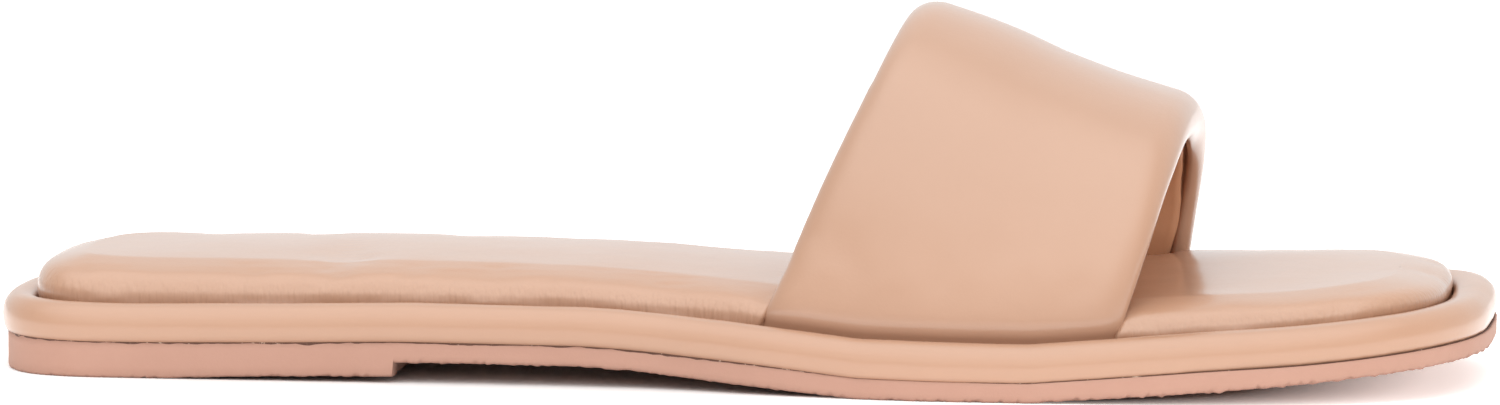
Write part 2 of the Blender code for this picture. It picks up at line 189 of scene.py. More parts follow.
# Heights along the shoe: share of its length, then share of a named size
UNDERSIDE_HEEL = (
    (0.00, 0.79), (0.08, 0.68), (0.20, 0.81), (0.30, 0.97), (0.40, 0.97), (0.50, 0.50), (0.595, 0.0),
)
UNDERSIDE_TOE = ((0.71, 0.0), (0.80, 0.26), (0.90, 0.60), (1.00, 1.00))
THICKNESS = (
    (0.00, 1.10), (0.25, 1.06), (0.42, 1.03), (0.52, 1.13), (0.60, 1.05),
    (0.70, 0.97), (0.82, 1.00), (0.90, 0.90), (1.00, 0.86),
)
HEEL_TREAD = ((0.00, 0.0), (0.115, 0.0), (0.16, 0.35), (0.22, 0.75), (0.28, 1.0))
FOOTBED_TOP = (
    (0.00, 1.08), (0.12, 1.01), (0.30, 0.94), (0.50, 0.88), (0.62, 0.93),
    (0.75, 0.98), (0.85, 0.85), (0.92, 0.72), (1.00, 0.40),
)
INSTEP = (
    (0.520, 1.100), (0.600, 1.050), (0.630, 1.013), (0.670, 0.951), (0.705, 0.878),
    (0.740, 0.802), (0.770, 0.744), (0.800, 0.690), (0.830, 0.643),
)
SECTION_POWER = ((0.52, 2.25), (0.65, 2.30), (0.83, 2.45))
# How far the near shoulder of the footbed lies under the far one, in millimetres
SHOULDER_DROP = ((0.00, 0.2), (0.15, 0.8), (0.40, 0.9), (0.52, 0.6), (0.75, 1.8), (0.86, 1.4), (0.95, 0.1))

# Share of the rim's width and of its height, from the parting line round to the inner lip
RIM_PROFILE = (
    (0.100, 0.00), (0.030, 0.14), (0.000, 0.40), (0.040, 0.64), (0.150, 0.83),
    (0.320, 0.96), (0.520, 1.00), (0.750, 0.97), (0.930, 0.88), (1.000, 0.78),
)
# Share of the footbed's edge depth and of its rise, from the rim's lip to its top
FOOTBED_PROFILE = (
    (0.000, 0.00), (-0.012, 0.20), (0.000, 0.38), (0.055, 0.54), (0.150, 0.68),
    (0.300, 0.79), (0.600, 0.90), (1.000, 1.00),
)


def smooth(rows, x):
    """Values at x of a curve through (place, value) rows that never overshoots them."""
    places, values = np.array(rows, float).T
    x = np.clip(np.asarray(x, float), places[0], places[-1])
    spans, rises = np.diff(places), np.diff(values)
    slopes = rises / spans
    tangents = np.concatenate([slopes[:1], np.zeros(len(slopes) - 1), slopes[-1:]])
    left, right = slopes[:-1], slopes[1:]
    same = left * right > 0
    tangents[1:-1][same] = 2 * left[same] * right[same] / (left[same] + right[same])
    i = np.clip(np.searchsorted(places, x, side="right") - 1, 0, len(spans) - 1)
    t = (x - places[i]) / spans[i]
    start, end = tangents[i] * spans[i], tangents[i + 1] * spans[i]
    return values[i] + t * (start + t * (3 * rises[i] - 2 * start - end + t * (start + end - 2 * rises[i])))


def ease(t):
    t = np.clip(t, 0.0, 1.0)
    return t * t * (3 - 2 * t)


def mix(a, b, t):
    return a + (b - a) * t


def underside(x):
    heel = smooth(UNDERSIDE_HEEL, x / LENGTH) * ARCH_RISE
    return heel + smooth(UNDERSIDE_TOE, x / LENGTH) * TOE_SPRING


def parting(x):
    """Height where the platform starts, on top of the outsole."""
    return underside(x) + smooth(THICKNESS, x / LENGTH) * SOLE_THICKNESS


def tread_height(x):
    """Height of the outsole's lowest face: the heel block, then the arch and the forefoot."""
    return np.where(x <= HEEL_BLOCK_LENGTH, smooth(HEEL_TREAD, x / LENGTH) * HEEL_ROCK, underside(x))


def rim_width(x):
    return mix(RIM_WIDTH_HEEL, RIM_WIDTH_TOE, ease((x / LENGTH - 0.4) / 0.6))


def recess_floor(x):
    return parting(x) + BOARD_THICKNESS


def footbed_start(x):
    return parting(x) + RIM_PROFILE[-1][1] * RIM_HEIGHT


def footbed_top(x):
    return parting(x) + RIM_HEIGHT + smooth(FOOTBED_TOP, x / LENGTH) * FOOTBED_RISE


def sole_setback(x):
    return SOLE_SETBACK * (1 - ease((x / LENGTH - 0.5) / 0.5))


def half_width(side, x):
    column = PLAN_COLUMNS.index(side)
    base = smooth([(row[0] * LENGTH, row[1] * row[column]) for row in PLAN], x)
    (heel, heel_power), (toe, toe_power) = HEEL_ENDS[side], TOE_ENDS[side]
    back = np.clip(1 - x / heel, 0.0, 1.0)
    front = np.clip(1 - (LENGTH - x) / toe, 0.0, 1.0)
    return base * (1 - back ** heel_power) ** (1 / heel_power) * (1 - front ** toe_power) ** (1 / toe_power)


def dense_outline(side, samples=1600):
    """Points of one side's outline from heel to toe, and the outward normal at each."""
    x = LENGTH * (1 - np.cos(np.linspace(0, math.pi, samples))) / 2
    points = np.stack([x, half_width(side, x)], axis=1)
    along = np.gradient(points, axis=0)
    along /= np.linalg.norm(along, axis=1, keepdims=True)
    normals = np.stack([-along[:, 1], along[:, 0]], axis=1)
    normals[0], normals[-1] = (-1, 0), (1, 0)
    return points, normals


OUTLINES = {side: dense_outline(side) for side in SIDES}
CENTRE_Y = (OUTLINES["medial"][0][:, 1].max() - OUTLINES["lateral"][0][:, 1].max()) / 2


def inset_side(side, inset, cut=None):
    """One side's outline moved in by inset and then narrowed by cut, both functions of x."""
    points, normals = OUTLINES[side]
    moved = points - normals * inset(points[:, 0])[:, None]
    if cut:
        moved[:, 1] -= cut(moved[:, 0])
    inside = np.flatnonzero(moved[:, 1] > 0)
    first, last = inside[0], inside[-1]
    tips = []
    for near, beyond in ((first, first - 1), (last, last + 1)):
        share = moved[near, 1] / (moved[near, 1] - moved[beyond, 1])
        tips.append(mix(moved[near], moved[beyond], share))
    line = np.concatenate([[tips[0]], moved[first:last + 1], [tips[1]]])
    onward = np.concatenate([[True], line[1:, 0] > np.maximum.accumulate(line[:-1, 0]) + 1e-9])
    return line[onward]


def section_steps(marks, total):
    """Steps between successive marks of (distance along the shoe, density), adding up to total."""
    lengths = [(b[0] - a[0]) * a[1] for a, b in zip(marks, marks[1:])]
    ends = np.rint(np.cumsum([0] + lengths) / sum(lengths) * total).astype(int)
    return np.diff(ends)


def plan_ring(inset, cuts=None, marks=None, count=STATIONS):
    """A closed ring of plan points: the lateral side from heel to toe, then the medial side back.

    marks gives each side rows of (distance along the shoe, density), where every ring has a point.
    """
    halves = []
    for side, sign in SIDES.items():
        line = inset_side(side, inset, cuts[side] if cuts else None)
        steps = np.linalg.norm(np.diff(line, axis=0), axis=1)
        reach = np.concatenate([[0], np.cumsum(steps)])
        rows = [(0.0, 1.0)] + list(marks[side] if marks else ()) + [(LENGTH, 1.0)]
        stops = [np.interp(x, line[:, 0], reach) for x, density in rows]
        parts = [np.linspace(a, b, n, endpoint=False)
                 for a, b, n in zip(stops, stops[1:], section_steps(rows, count - 1))]
        wanted = np.concatenate(parts + [[reach[-1]]])
        half = np.stack([np.interp(wanted, reach, line[:, k]) for k in (0, 1)], axis=1)
        half[:, 1] *= sign
        halves.append(half)
    return np.concatenate([halves[0], halves[1][-2:0:-1]])


def toe_lift(x, y):
    """How much the medial corner of the toe curls up."""
    return TOE_LIFT * ease((x - 238 * MM) / (14 * MM)) * ease((y + 5 * MM) / (25 * MM))


def raised(ring, height):
    """A plan ring with its height from a function of the distance along the shoe, in the frame."""
    z = height(ring[:, 0]) + toe_lift(ring[:, 0], ring[:, 1])
    return np.stack([ring[:, 0] - LENGTH / 2, ring[:, 1] - CENTRE_Y, z], axis=1)


def through(rows, count):
    """Evenly spaced points on a smooth curve through the rows of a profile."""
    rows = np.array(rows, float)
    steps = np.linalg.norm(np.diff(rows, axis=0), axis=1)
    reach = np.concatenate([[0], np.cumsum(steps)])
    places = np.linspace(0, reach[-1], count)
    return np.stack([smooth(list(zip(reach, rows[:, k])), places) for k in (0, 1)], axis=1)


def cap_points(ring, height, crown, count, across=ACROSS):
    """Inner points of the ladder that closes a ring, strip by strip from heel to toe."""
    lateral, medial = ring[1:count - 1], ring[:count - 1:-1]
    t = (np.arange(1, across) / across)[None, :, None]
    grid = lateral[:, None] + (medial - lateral)[:, None] * t
    x = grid[..., 0] + LENGTH / 2
    middle = (lateral[:, 0] + medial[:, 0]) / 2
    inward = np.minimum(middle - ring[0, 0], ring[count - 1, 0] - middle)
    wide = ease(np.linalg.norm(medial - lateral, axis=1) / CROWN_SPREAD) * ease(2 * inward / CROWN_SPREAD)
    wide = wide[:, None]
    grid[..., 2] = height(x) + toe_lift(x, grid[..., 1] + CENTRE_Y)
    grid[..., 2] += crown * wide * (1 - (2 * t[..., 0] - 1) ** 2)
    return grid


def cap_faces(ring_start, grid_start, count, upward, across=ACROSS):
    """Faces of a cap between its ring and its inner grid."""
    size = 2 * count - 2
    rows = count - 2
    table = np.empty((rows, across + 1), int)
    table[:, 0] = ring_start + 1 + np.arange(rows)
    table[:, -1] = ring_start + size - 1 - np.arange(rows)
    table[:, 1:-1] = grid_start + np.arange(rows * (across - 1)).reshape(rows, across - 1)
    a, b, c, d = table[:-1, :-1], table[1:, :-1], table[1:, 1:], table[:-1, 1:]
    faces = np.stack([a, b, c, d], axis=-1).reshape(-1, 4).tolist()
    tip, toe = ring_start, ring_start + count - 1
    faces += [[tip, table[0, k], table[0, k + 1]] for k in range(across)]
    faces += [[toe, table[-1, k + 1], table[-1, k]] for k in range(across)]
    return faces if upward else [face[::-1] for face in faces]


def tube_faces(rings, size):
    """Quads between successive closed rings of the same size."""
    index = np.arange(rings * size).reshape(rings, size)
    following = np.roll(index, -1, axis=1)
    quads = np.stack([index[:-1], following[:-1], following[1:], index[1:]], axis=-1)
    return quads.reshape(-1, 4).tolist()


def new_mesh(name, points, faces):
    """A mesh from rows of points and faces."""
    mesh = bpy.data.meshes.new(name)
    mesh.from_pydata([tuple(p) for p in points], [], faces)
    return mesh


def new_object(name, data):
    """An object in the scene, at its origin."""
    made = bpy.data.objects.new(name, data)
    bpy.context.scene.collection.objects.link(made)
    return made


def vectors(layer, name):
    """The vectors of a mesh layer, one row for each point."""
    values = np.empty(len(layer) * 3, np.float32)
    layer.foreach_get(name, values)
    return values.reshape(-1, 3)


def search_tree(points):
    """A tree that finds the points nearest to a place."""
    tree = KDTree(len(points))
    for k, point in enumerate(points):
        tree.insert(point, k)
    tree.balance()
    return tree


def add_piece(name, points, faces, material, slot, *nodes, body="root"):
    """A smooth-shaded mesh piece in the frame, riding on the shoe's body."""
    mesh = new_mesh(name, points, faces)
    mesh.validate()
    mesh.polygons.foreach_set("use_smooth", [True] * len(mesh.polygons))
    mesh.materials.append(material)
    piece = new_object(name, mesh)
    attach(piece, body)
    if nodes:
        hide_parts(*nodes)
    return piece


def solid_of_rings(rings, bottom, top, crown=0.0, count=STATIONS, across=ACROSS):
    """Points and faces of a closed solid skinned over rings with a ladder cap at each end."""
    side = np.concatenate(rings)
    low = cap_points(rings[0], bottom, 0.0, count, across)
    high = cap_points(rings[-1], top, crown, count, across)
    size = 2 * count - 2
    faces = tube_faces(len(rings), size)
    faces += cap_faces(0, len(side), count, False, across)
    faces += cap_faces(len(side) - size, len(side) + low.size // 3, count, True, across)
    return np.concatenate([side, low.reshape(-1, 3), high.reshape(-1, 3)]), faces


def wave(points, size, seed):
    """Smooth noise between -1 and 1 with features of a given size, one value for each point."""
    shift = Vector((seed * 7.31, seed * 3.17, seed * 5.53))
    return np.array([noise.noise(Vector(p) / size + shift) for p in points])


def swell(points, rows):
    """A sum of waves from rows of (height, size, seed)."""
    return sum(height * wave(points, size, seed) for height, size, seed in rows)


def mesh_normals(points, faces):
    mesh = new_mesh("normals", points, faces)
    normals = vectors(mesh.vertex_normals, "vector")
    bpy.data.meshes.remove(mesh)
    return normals


def level_caps(moves, rings, size):
    """Moves that leave the first ring in place and the caps' thin faces upright.

    The first ring's moves are dropped, and so is the sideways part of those on the last ring and the caps.
    """
    moves[:size] = 0
    moves[(rings - 1) * size:, :2] = 0
    return moves


def even_copy(points, faces, voxel):
    """An evenly meshed copy of a cover, as an object of its own."""
    copy = new_object("cover_copy", new_mesh("cover_copy", points, faces))
    remesh = copy.modifiers.new("even", "REMESH")
    remesh.mode, remesh.voxel_size = "VOXEL", voxel
    bpy.context.view_layer.update()
    even = bpy.data.meshes.new_from_object(copy.evaluated_get(bpy.context.evaluated_depsgraph_get()))
    bpy.data.objects.remove(copy)
    return new_object("cover_cloth", even)


def add_cloth(cover):
    """Leather with a little slack, pressed outwards by the foam and free of gravity."""
    cloth = cover.modifiers.new("cloth", "CLOTH")
    cloth.settings.quality = CLOTH_QUALITY
    cloth.settings.use_pressure = True
    cloth.settings.uniform_pressure_force = FOAM_PRESSURE
    cloth.settings.tension_stiffness = cloth.settings.compression_stiffness = LEATHER_STIFFNESS
    cloth.settings.bending_stiffness = LEATHER_BENDING
    cloth.settings.shrink_min = -LEATHER_SLACK
    cloth.settings.effector_weights.gravity = 0
    cloth.settings.vertex_group_mass = "pinned"
    cloth.point_cache.frame_start, cloth.point_cache.frame_end = 1, SETTLE_FRAMES


def settle(points, faces, held, voxel, most):
    """Where foam pressure and slack push the leather of a cover, as a move for each point.

    The cover is simulated as a cloth on an even copy of its mesh, pinned where held is 1.
    """
    cover = even_copy(points, faces, voxel)
    rest = vectors(cover.data.vertices, "co").astype(float)
    tree = search_tree(points)
    pins = cover.vertex_groups.new(name="pinned")
    for k, point in enumerate(rest):
        pins.add([k], float(held[tree.find(point)[1]]), "REPLACE")
    add_cloth(cover)
    scene = bpy.context.scene
    for frame_number in range(1, SETTLE_FRAMES + 1):
        scene.frame_set(frame_number)
    shaped = cover.evaluated_get(bpy.context.evaluated_depsgraph_get()).to_mesh()
    moves = vectors(shaped.vertices, "co") - rest
    bpy.data.objects.remove(cover)
    scene.frame_set(1)
    lengths = np.linalg.norm(moves, axis=1, keepdims=True)
    moves = moves * most / (lengths + most)
    tree = search_tree(rest)
    result = np.zeros_like(points)
    for k, point in enumerate(points):
        found = tree.find_n(point, NEAREST_POINTS)
        weights = np.array([1 / (distance + 0.2 * voxel) ** 2 for spot, index, distance in found])
        result[k] = weights @ moves[[index for spot, index, distance in found]] / weights.sum()
    return result


class Value:
    """A shader socket: arithmetic on it adds Math nodes, and node() adds any other node."""

    def __init__(self, tree, socket=None):
        self.tree, self.socket = tree, socket

    def node(self, kind, settings=None, inputs=None, output=0):
        made = self.tree.nodes.new(kind)
        for name, setting in (settings or {}).items():
            if name == "stops":
                while len(made.color_ramp.elements) < len(setting):
                    made.color_ramp.elements.new(1.0)
                for element, (place, colour) in zip(made.color_ramp.elements, setting):
                    element.position = place
                    element.color = (*colour, 1.0)
            else:
                setattr(made, name, setting)
        for name, value in (inputs or {}).items():
            if isinstance(value, Value):
                self.tree.links.new(value.socket, made.inputs[name])
            else:
                made.inputs[name].default_value = value
        return Value(self.tree, made.outputs[output] if made.outputs else None)

    def math(self, operation, first, second=0.0):
        return self.node("ShaderNodeMath", {"operation": operation}, {0: first, 1: second})

    def limited(self):
        """The value kept between 0 and 1."""
        return self.math("MINIMUM", self.math("MAXIMUM", self, 0.0), 1.0)

    def __add__(self, other):
        return self.math("ADD", self, other)

    def __radd__(self, other):
        return self.math("ADD", other, self)

    def __sub__(self, other):
        return self.math("SUBTRACT", self, other)

    def __rsub__(self, other):
        return self.math("SUBTRACT", other, self)

    def __mul__(self, other):
        return self.math("MULTIPLY", self, other)

    def __rmul__(self, other):
        return self.math("MULTIPLY", other, self)

    def __pow__(self, other):
        return self.math("POWER", self, other)


def colour_mix(first, second, factor):
    """Two colours mixed by a shader value."""
    made = factor.tree.nodes.new("ShaderNodeMix")
    made.data_type = "RGBA"
    for socket, value in ((0, factor), (6, first), (7, second)):
        if isinstance(value, Value):
            factor.tree.links.new(value.socket, made.inputs[socket])
        else:
            made.inputs[socket].default_value = (*value, 1.0)
    return Value(factor.tree, made.outputs[2])


def new_material(name, constants):
    """A Principled material with its constant values set on its own sockets."""
    material = bpy.data.materials.new(name)
    material.use_nodes = True
    shader = material.node_tree.nodes["Principled BSDF"]
    for socket, value in constants.items():
        shader.inputs[socket].default_value = value
    return material, shader, Value(material.node_tree)


def feed(shader, values, root):
    for socket, value in values.items():
        root.tree.links.new(value.socket, shader.inputs[socket])


def spots(root, size, detail=2.0, roughness=0.5, output=0):
    """Noise on the object's own coordinates with features of a given size."""
    place = root.node("ShaderNodeTexCoord", output=3)
    inputs = {"Vector": place, "Scale": 1 / size, "Detail": detail, "Roughness": roughness}
    return root.node("ShaderNodeTexNoise", None, inputs, output)


def marked(root, name):
    """The value that mark() stored on the mesh under a name."""
    return root.node("ShaderNodeAttribute", {"attribute_name": name}, output=2)


def bumped(root, height, strength, distance, under=None):
    """A bump, added to the one under it."""
    inputs = {"Height": height, "Strength": strength, "Distance": distance}
    if under:
        inputs["Normal"] = under
    return root.node("ShaderNodeBump", None, inputs)


def darker(colour, shares):
    return tuple(channel * share for channel, share in zip(colour, shares))


def nappa(name, light, deep, coat=0.50):
    """Smooth soft leather: a fine closed grain, faint clouding, and painted shade, darker where its mark
    says.
    """
    material, shader, root = new_material(name, {
        "Specular IOR Level": 0.45, "Coat Roughness": 0.16, "Coat IOR": 1.5})
    clouds = spots(root, 14 * MM, 3.0)
    fine = spots(root, 1.6 * MM, 2.0)
    crease = marked(root, "crease")
    tone = colour_mix(light, deep, clouds * 0.55 + fine * 0.12)
    # Painted shade: darker and browner where the mark is high, in crevices, joins and tucks.
    colour = colour_mix(tone, darker(deep, (0.62, 0.48, 0.40)), crease * 0.55)
    place = root.node("ShaderNodeTexCoord", output=3)
    cells = root.node("ShaderNodeTexVoronoi", {"feature": "F1"}, {"Vector": place, "Scale": 1 / (0.55 * MM)})
    pores = spots(root, 0.28 * MM, 2.0)
    grain = cells * 0.6 + pores * 0.4
    bump = bumped(root, grain, 0.30, 0.05 * MM)
    drawn = root.node("ShaderNodeMapping", None, {"Vector": place, "Scale": (1.0, 1.0, 0.12)})
    pleats = root.node("ShaderNodeTexNoise", None, {"Vector": drawn, "Scale": 1 / (0.9 * MM), "Detail": 1.0})
    bump = bumped(root, pleats * marked(root, "pucker"), 1.0, 0.30 * MM, bump)
    bump = bumped(root, spots(root, 5 * MM, 2.0), 0.35, 0.12 * MM, bump)
    roughness = 0.34 + clouds * 0.08 + grain * 0.05
    # The painted shade also takes the coat away there.
    gloss = (coat + clouds * 0.2) * (1 - crease * 0.9)
    feed(shader, {"Base Color": colour, "Roughness": roughness, "Normal": bump, "Coat Weight": gloss}, root)
    return material


def rubber(name, light, deep):
    """Moulded rubber: matt, pinkish, with painted shade along its lower edge and small pits."""
    material, shader, root = new_material(name, {"Specular IOR Level": 0.35})
    clouds = spots(root, 9 * MM, 4.0, 0.6)
    speckle = spots(root, 0.8 * MM, 3.0, 0.7)
    crease = marked(root, "crease")
    tone = colour_mix(light, deep, clouds * 0.6 + speckle * 0.25)
    # Painted shade: darker where the mark is high, along the lower edge by the floor.
    colour = colour_mix(tone, darker(deep, (0.50, 0.42, 0.40)), crease * 0.8)
    grit = spots(root, 0.35 * MM, 3.0, 0.7)
    bump = bumped(root, grit * 0.5 + speckle * 0.5, 0.5, 0.12 * MM)
    roughness = 0.58 + clouds * 0.12
    feed(shader, {"Base Color": colour, "Roughness": roughness, "Normal": bump}, root)
    return material


def glue(name):
    """Dried cement in the seam: brown, with pale crumbs."""
    material, shader, root = new_material(name, {"Specular IOR Level": 0.4})
    crumbs = spots(root, 1.4 * MM, 4.0, 0.7)
    colour = root.node("ShaderNodeValToRGB", {
        "stops": [(0.0, (0.08, 0.035, 0.02)), (0.60, (0.13, 0.06, 0.04)), (0.70, (0.66, 0.50, 0.38))]},
        {"Fac": crumbs})
    roughness = 0.55 + crumbs * 0.2
    feed(shader, {"Base Color": colour, "Roughness": roughness}, root)
    return material


def mark(piece, values, name="crease"):
    """Stores a value that the materials read, one for each point."""
    layer = piece.data.attributes.new(name, "FLOAT", "POINT")
    layer.data.foreach_set("value", np.clip(values, 0, 1).astype(np.float32))


def band_reach(side, share):
    """Rear and front edge of the band on one side at a share of its height."""
    lag = MEDIAL_LAG * (1 - share) * (side == "medial")
    sweep = FRONT_SWEEP * (1 - share) ** 3 * (side == "lateral")
    rear = mix(BAND_REAR_FOOT, BAND_REAR_TOP, share) + lag
    return rear, mix(BAND_FRONT_FOOT, BAND_FRONT_TOP, share) + lag - sweep


def notch(side, x, share):
    """How much of the band's wall the footbed makes room for at x, from 0 to 1."""
    rear, front = band_reach(side, share)
    opening = ease((x - rear + NOTCH_OUT) / (NOTCH_OUT + NOTCH_IN))
    return opening * ease((front + NOTCH_OUT - x) / (NOTCH_OUT + NOTCH_IN))


def wall_at(height):
    """How thick the band is at a height above the rim: pressed thin where it is tucked in."""
    return BAND_WALL * mix(FOOT_PRESS, 1.0, ease(height / PRESS_HEIGHT))


def footbed_ring(inset, height):
    """A ring of the footbed, pushed in where the band passes down beside it."""
    share = max(height, 0.0) * FOOTBED_RISE / INSTEP_HEIGHT
    room = wall_at(max(height, 0.0) * FOOTBED_RISE) + 2 * GAP
    cuts = {
        "lateral": lambda x: room * notch("lateral", x, share),
        "medial": lambda x: room * notch("medial", x, share),
    }
    marks = {}
    for side in SIDES:
        rear, front = band_reach(side, share)
        marks[side] = [(rear - 1.5 * MM, 4.0), (rear + NOTCH_IN + 0.5 * MM, 1.0),
                       (front - NOTCH_IN - 0.5 * MM, 4.0), (front + 1.5 * MM, 1.0)]
    return plan_ring(lambda x: rim_width(x) + GAP + inset * FOOTBED_EDGE, cuts, marks)


def make_footbed():
    """The pillow: foam under leather that puckers a little where it is tucked into the rim."""
    def base(x):
        return recess_floor(x) + GAP

    rings, heights = [], []
    for lift in (0.0, 0.45, 0.9):
        rings.append(raised(footbed_ring(0.0, 0.0), lambda x: mix(base(x), footbed_start(x), lift)))
        heights.append(lift - 1)
    for inset, height in through(FOOTBED_PROFILE, SIDE_RINGS):
        ring = footbed_ring(inset, height)
        rings.append(raised(ring, lambda x: mix(footbed_start(x), footbed_top(x), height)))
        heights.append(height)
    points, faces = solid_of_rings(rings, base, footbed_top, FOOTBED_CROWN)
    normals = mesh_normals(points, faces)
    size = len(rings[0])
    count = size * len(rings)
    cap_size = (len(points) - count) // 2
    normals[count - size:count] = normals[count + cap_size:] = (0, 0, 1)
    rise = np.ones(len(points))
    rise[:count] = np.repeat(heights, size)
    rise[count:count + cap_size] = -1
    side = (rise > 0) * (1 - ease((rise - 0.4) / 0.5))
    free = ease(rise / 0.25)
    moves = settle(points, faces, 1 - free, **FOOTBED_CLOTH)
    moves = normals * (swell(points, FOOTBED_SWELL) * free)[:, None] + moves * free[:, None]
    points = points + level_caps(moves, len(rings), size)
    near = ease(0.5 - (points[:, 1] + CENTRE_Y) / SHOULDER_SPREAD) * ease(rise / 0.6)
    points[:, 2] -= smooth(SHOULDER_DROP, points[:, 0] / LENGTH + 0.5) * MM * near
    piece = add_piece("footbed_cover", points, faces, NAPPA_FOOTBED, "footbed_leather", "footbed")
    # Painted shade low on the footbed's side, darkest next to the rim.
    mark(piece, np.maximum(1 - ease(rise / 0.22), 0.7 * (1 - ease(rise / 0.5))))
    mark(piece, side, "pucker")
    return piece


def make_platform():
    """The board and its rolled rim under one wrap of leather, drawn in at the parting line."""
    rings, shares = [], []
    for inset, height in through(RIM_PROFILE, SIDE_RINGS):
        ring = plan_ring(lambda x: inset * rim_width(x))
        rings.append(raised(ring, lambda x: parting(x) + height * RIM_HEIGHT))
        shares.append((inset, height))
    for lift in (0.5, 0.0):
        rings.append(raised(plan_ring(rim_width), lambda x: mix(recess_floor(x), footbed_start(x), lift)))
        shares.append((1.05, 0.5))
    points, faces = solid_of_rings(rings, parting, recess_floor)
    normals = mesh_normals(points, faces)
    size = len(rings[0])
    inset = np.repeat([s[0] for s in shares], size)
    height = np.repeat([s[1] for s in shares], size)
    side = np.zeros(len(points))
    side[:len(inset)] = inset <= 1.0
    low = np.zeros(len(points))
    low[:len(inset)] = (1 - ease(height / 0.5)) * (inset < 0.3)
    gathers = wave(points * (1, 1, 0.2), 2.2 * MM, 6) * low * GATHER_DEPTH
    moves = normals * (swell(points, RIM_SWELL) * side + gathers)[:, None]
    points = points + level_caps(moves, len(rings), size)
    piece = add_piece("rim_wrap", points, faces, NAPPA_RIM, "platform_leather", "wrapped_platform")
    # Painted shade on the rim's inner lip by the footbed and low on the rim by the parting line.
    crease = np.zeros(len(points))
    crease[:len(inset)] = np.where(inset > 0.6, ease((inset - 0.86) / 0.14), (1 - ease(height / 0.10)) * 0.7)
    mark(piece, crease)
    return piece


def chips(points, stretch, size, seed, least):
    """Scattered chips, from 0 to 1: the part of a wave above a least value, drawn out in height."""
    return np.clip(wave(points * (1, 1, stretch), size, seed) - least, 0, 1)


def make_outsole():
    """The rubber sheet with its heel block: sharp moulded sides and a ragged trimmed lower edge."""
    breast = [(HEEL_BLOCK_LENGTH - 0.01 * MM, 1.0), (HEEL_BLOCK_LENGTH + 0.25 * MM, 1.0)]

    def low(x):
        return tread_height(x) + TREAD_DEPTH

    def ring(inset, height):
        marks = {side: breast for side in SIDES}
        return raised(plan_ring(lambda x: sole_setback(x) + inset, None, marks, SOLE_STATIONS), height)

    rings = [
        ring(TREAD_INSET, low),
        ring(TREAD_INSET - 0.2 * MM, tread_height),
        ring(SOLE_EDGE_ROUND + 0.7 * MM, tread_height),
        ring(SOLE_EDGE_ROUND, tread_height),
        ring(0.3 * SOLE_EDGE_ROUND, lambda x: tread_height(x) + 0.25 * SOLE_EDGE_ROUND),
        ring(0.0, lambda x: tread_height(x) + SOLE_EDGE_ROUND),
    ]
    for share in (0.25, 0.5, 0.75):
        rings.append(ring(0.0, lambda x: mix(tread_height(x) + SOLE_EDGE_ROUND, parting(x), share)))
    rings.append(ring(0.0, lambda x: parting(x) - 0.10 * MM))
    rings.append(ring(0.15 * MM, parting))
    points, faces = solid_of_rings(rings, low, parting, 0.0, SOLE_STATIONS, SOLE_ACROSS)
    normals = mesh_normals(points, faces)
    size = len(rings[0])
    # Rings 3 to 5 turn from the underside into the side, rings 4 to 9 are the side
    lower_edge = slice(3 * size, 6 * size)
    edge = np.zeros(len(points))
    edge[lower_edge] = 1.0
    side = np.zeros(len(points))
    side[4 * size:10 * size] = 1.0
    rag = chips(points, 0.3, 3.0 * MM, 7, 0.20)
    nick = chips(points, 0.2, 0.8 * MM, 8, 0.12)
    worn = mix(0.6, 1.0, ease((points[:, 0] - 10 * MM) / (50 * MM)))
    burr = chips(points, 0.2, 1.1 * MM, 13, 0.05) * ease((points[:, 2] - 0.6 * MM) / (0.8 * MM))
    moves = normals * (side * SIDE_WAVE * wave(points, 3 * MM, 9))[:, None]
    points -= level_caps(moves, len(rings), size)
    points[:, 2] += edge * worn * (RAG_DEPTH * rag + NICK_DEPTH * nick - BURR_DEPTH * burr)
    piece = add_piece("outsole_rubber", points, faces, RUBBER, "outsole_rubber", "outsole")
    # Painted shade on the rounded lower edge, strongest where it faces the floor.
    crease = np.zeros(len(points))
    crease[lower_edge] = np.repeat((0.75, 0.55, 0.10), size)
    mark(piece, crease)
    return piece


def last_grid(turns, across):
    """Outer face of the band for arrays of turns (0 lateral to pi medial) and places across it."""
    turn, v = np.meshgrid(turns, across, indexing="ij")
    rise = np.sin(turn)
    share = rise ** 0.87
    blend = ease(turn / math.pi)
    rear = mix(band_reach("lateral", share)[0], band_reach("medial", share)[0], blend)
    front = mix(band_reach("lateral", share)[1], band_reach("medial", share)[1], blend)
    x = mix(rear, front, v)
    power = smooth(SECTION_POWER, x / LENGTH)
    feet = {}
    for side in SIDES:
        line = inset_side(side, lambda place: rim_width(place) + GAP)
        feet[side] = np.interp(x, line[:, 0], line[:, 1])
    spread = np.abs(np.cos(turn)) ** (2 / power)
    y = np.where(turn < math.pi / 2, -feet["lateral"] * spread, feet["medial"] * spread)
    y = y + CROWN_SHIFT * rise ** 2
    z = footbed_start(x) + smooth(INSTEP, x / LENGTH) * INSTEP_HEIGHT * rise ** (2 / power)
    return np.stack([x - LENGTH / 2, y - CENTRE_Y, z], axis=-1)


def band_frame(turns, across):
    """Points of the outer face and its outward normals."""
    points = last_grid(turns, across)
    step = 1e-3
    ahead = last_grid(np.clip(turns + step, 0, math.pi), across)
    behind = last_grid(np.clip(turns - step, 0, math.pi), across)
    along = last_grid(turns, across + step) - last_grid(turns, across - step)
    normals = np.cross(along, ahead - behind)
    return points, normals / np.linalg.norm(normals, axis=-1, keepdims=True)


